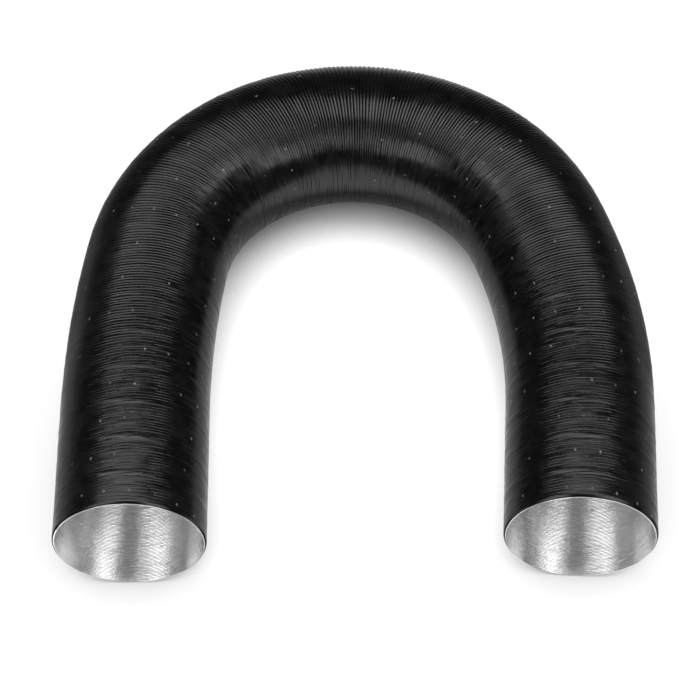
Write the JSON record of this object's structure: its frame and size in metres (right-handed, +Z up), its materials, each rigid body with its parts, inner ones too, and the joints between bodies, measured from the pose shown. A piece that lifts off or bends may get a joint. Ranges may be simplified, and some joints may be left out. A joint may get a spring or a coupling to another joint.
{
  "type": "flexible air duct",
  "caption": "Flexible pleated air duct, bent into a U: aluminium foil bore, kraft paper ply and black outer jacket. It bends, lifts and stretches along its length.",
  "frame": {"origin": "middle of the footprint, on the surface that the duct lies on", "axes": "+Z up; +Y from the open ends towards the crown of the U, the duct's longest extent by a millimetre; +X from the left leg to the right leg, seen from the open ends"},
  "size_m": [0.3112, 0.3122, 0.0775],
  "materials": {
    "jacket": "black, semi-matt, finely pleated, with small crimp marks",
    "paper": "brown kraft paper, seen only at the cut ends",
    "liner": "bright crinkled foil, ragged at the cut ends"
  },
  "bodies": {
    "crown": {"jacket_crown_band": "jacket", "paper_crown_band": "paper", "liner_crown_band": "liner", "jacket_left_pleats_1": "jacket", "paper_left_pleats_1": "paper", "liner_left_pleats_1": "liner", "jacket_right_pleats_1": "jacket", "paper_right_pleats_1": "paper", "liner_right_pleats_1": "liner"},
    "left_band_1": {"jacket_left_band_1": "jacket", "paper_left_band_1": "paper", "liner_left_band_1": "liner", "jacket_left_pleats_2": "jacket", "paper_left_pleats_2": "paper", "liner_left_pleats_2": "liner"},
    "left_band_2": {"jacket_left_band_2": "jacket", "paper_left_band_2": "paper", "liner_left_band_2": "liner", "jacket_left_pleats_3": "jacket", "paper_left_pleats_3": "paper", "liner_left_pleats_3": "liner"},
    "left_band_3": {"jacket_left_band_3": "jacket", "paper_left_band_3": "paper", "liner_left_band_3": "liner", "jacket_left_pleats_4": "jacket", "paper_left_pleats_4": "paper", "liner_left_pleats_4": "liner"},
    "left_cuff": {"jacket_left_cuff": "jacket", "paper_left_cuff": "paper", "liner_left_cuff": "liner"},
    "right_band_1": {"jacket_right_band_1": "jacket", "paper_right_band_1": "paper", "liner_right_band_1": "liner", "jacket_right_pleats_2": "jacket", "paper_right_pleats_2": "paper", "liner_right_pleats_2": "liner"},
    "right_band_2": {"jacket_right_band_2": "jacket", "paper_right_band_2": "paper", "liner_right_band_2": "liner", "jacket_right_pleats_3": "jacket", "paper_right_pleats_3": "paper", "liner_right_pleats_3": "liner"},
    "right_band_3": {"jacket_right_band_3": "jacket", "paper_right_band_3": "paper", "liner_right_band_3": "liner", "jacket_right_pleats_4": "jacket", "paper_right_pleats_4": "paper", "liner_right_pleats_4": "liner"},
    "right_cuff": {"jacket_right_cuff": "jacket", "paper_right_cuff": "paper", "liner_right_cuff": "liner"}
  },
  "joints": [
    {"name": "left_bend_1", "type": "hinge", "parent": "crown", "child": "left_band_1", "pos_m": [-0.03893, 0.11086, 0.0385], "axis": [0, 0, 1], "range_deg": [-45, 7], "deforming": ["jacket_left_pleats_1", "paper_left_pleats_1", "liner_left_pleats_1"]},
    {"name": "left_bend_2", "type": "hinge", "parent": "left_band_1", "child": "left_band_2", "pos_m": [-0.09316, 0.06822, 0.0385], "axis": [0, 0, 1], "range_deg": [-45, 7], "deforming": ["jacket_left_pleats_2", "paper_left_pleats_2", "liner_left_pleats_2"]},
    {"name": "left_lift", "type": "hinge", "parent": "left_band_2", "child": "left_band_3", "pos_m": [-0.11224, 0.00618, 0.0385], "axis": [-0.9925, 0.1222, 0], "range_deg": [0, 35], "deforming": ["jacket_left_pleats_3", "paper_left_pleats_3", "liner_left_pleats_3"]},
    {"name": "left_stretch", "type": "slide", "parent": "left_band_3", "child": "left_cuff", "axis": [-0.0171, -0.9999, 0], "range_m": [-0.008, 0.012], "deforming": ["jacket_left_pleats_4", "paper_left_pleats_4", "liner_left_pleats_4"]},
    {"name": "right_bend_1", "type": "hinge", "parent": "crown", "child": "right_band_1", "pos_m": [0.02844, 0.11248, 0.0385], "axis": [0, 0, -1], "range_deg": [-45, 7], "deforming": ["jacket_right_pleats_1", "paper_right_pleats_1", "liner_right_pleats_1"]},
    {"name": "right_bend_2", "type": "hinge", "parent": "right_band_1", "child": "right_band_2", "pos_m": [0.07817, 0.08057, 0.0385], "axis": [0, 0, -1], "range_deg": [-45, 7], "deforming": ["jacket_right_pleats_2", "paper_right_pleats_2", "liner_right_pleats_2"]},
    {"name": "right_lift", "type": "hinge", "parent": "right_band_2", "child": "right_band_3", "pos_m": [0.10612, 0.02268, 0.0385], "axis": [-0.9647, -0.2633, 0], "range_deg": [0, 35], "deforming": ["jacket_right_pleats_3", "paper_right_pleats_3", "liner_right_pleats_3"]},
    {"name": "right_stretch", "type": "slide", "parent": "right_band_3", "child": "right_cuff", "axis": [0.0303, -0.9995, 0], "range_m": [-0.008, 0.012], "deforming": ["jacket_right_pleats_4", "paper_right_pleats_4", "liner_right_pleats_4"]}
  ]
}
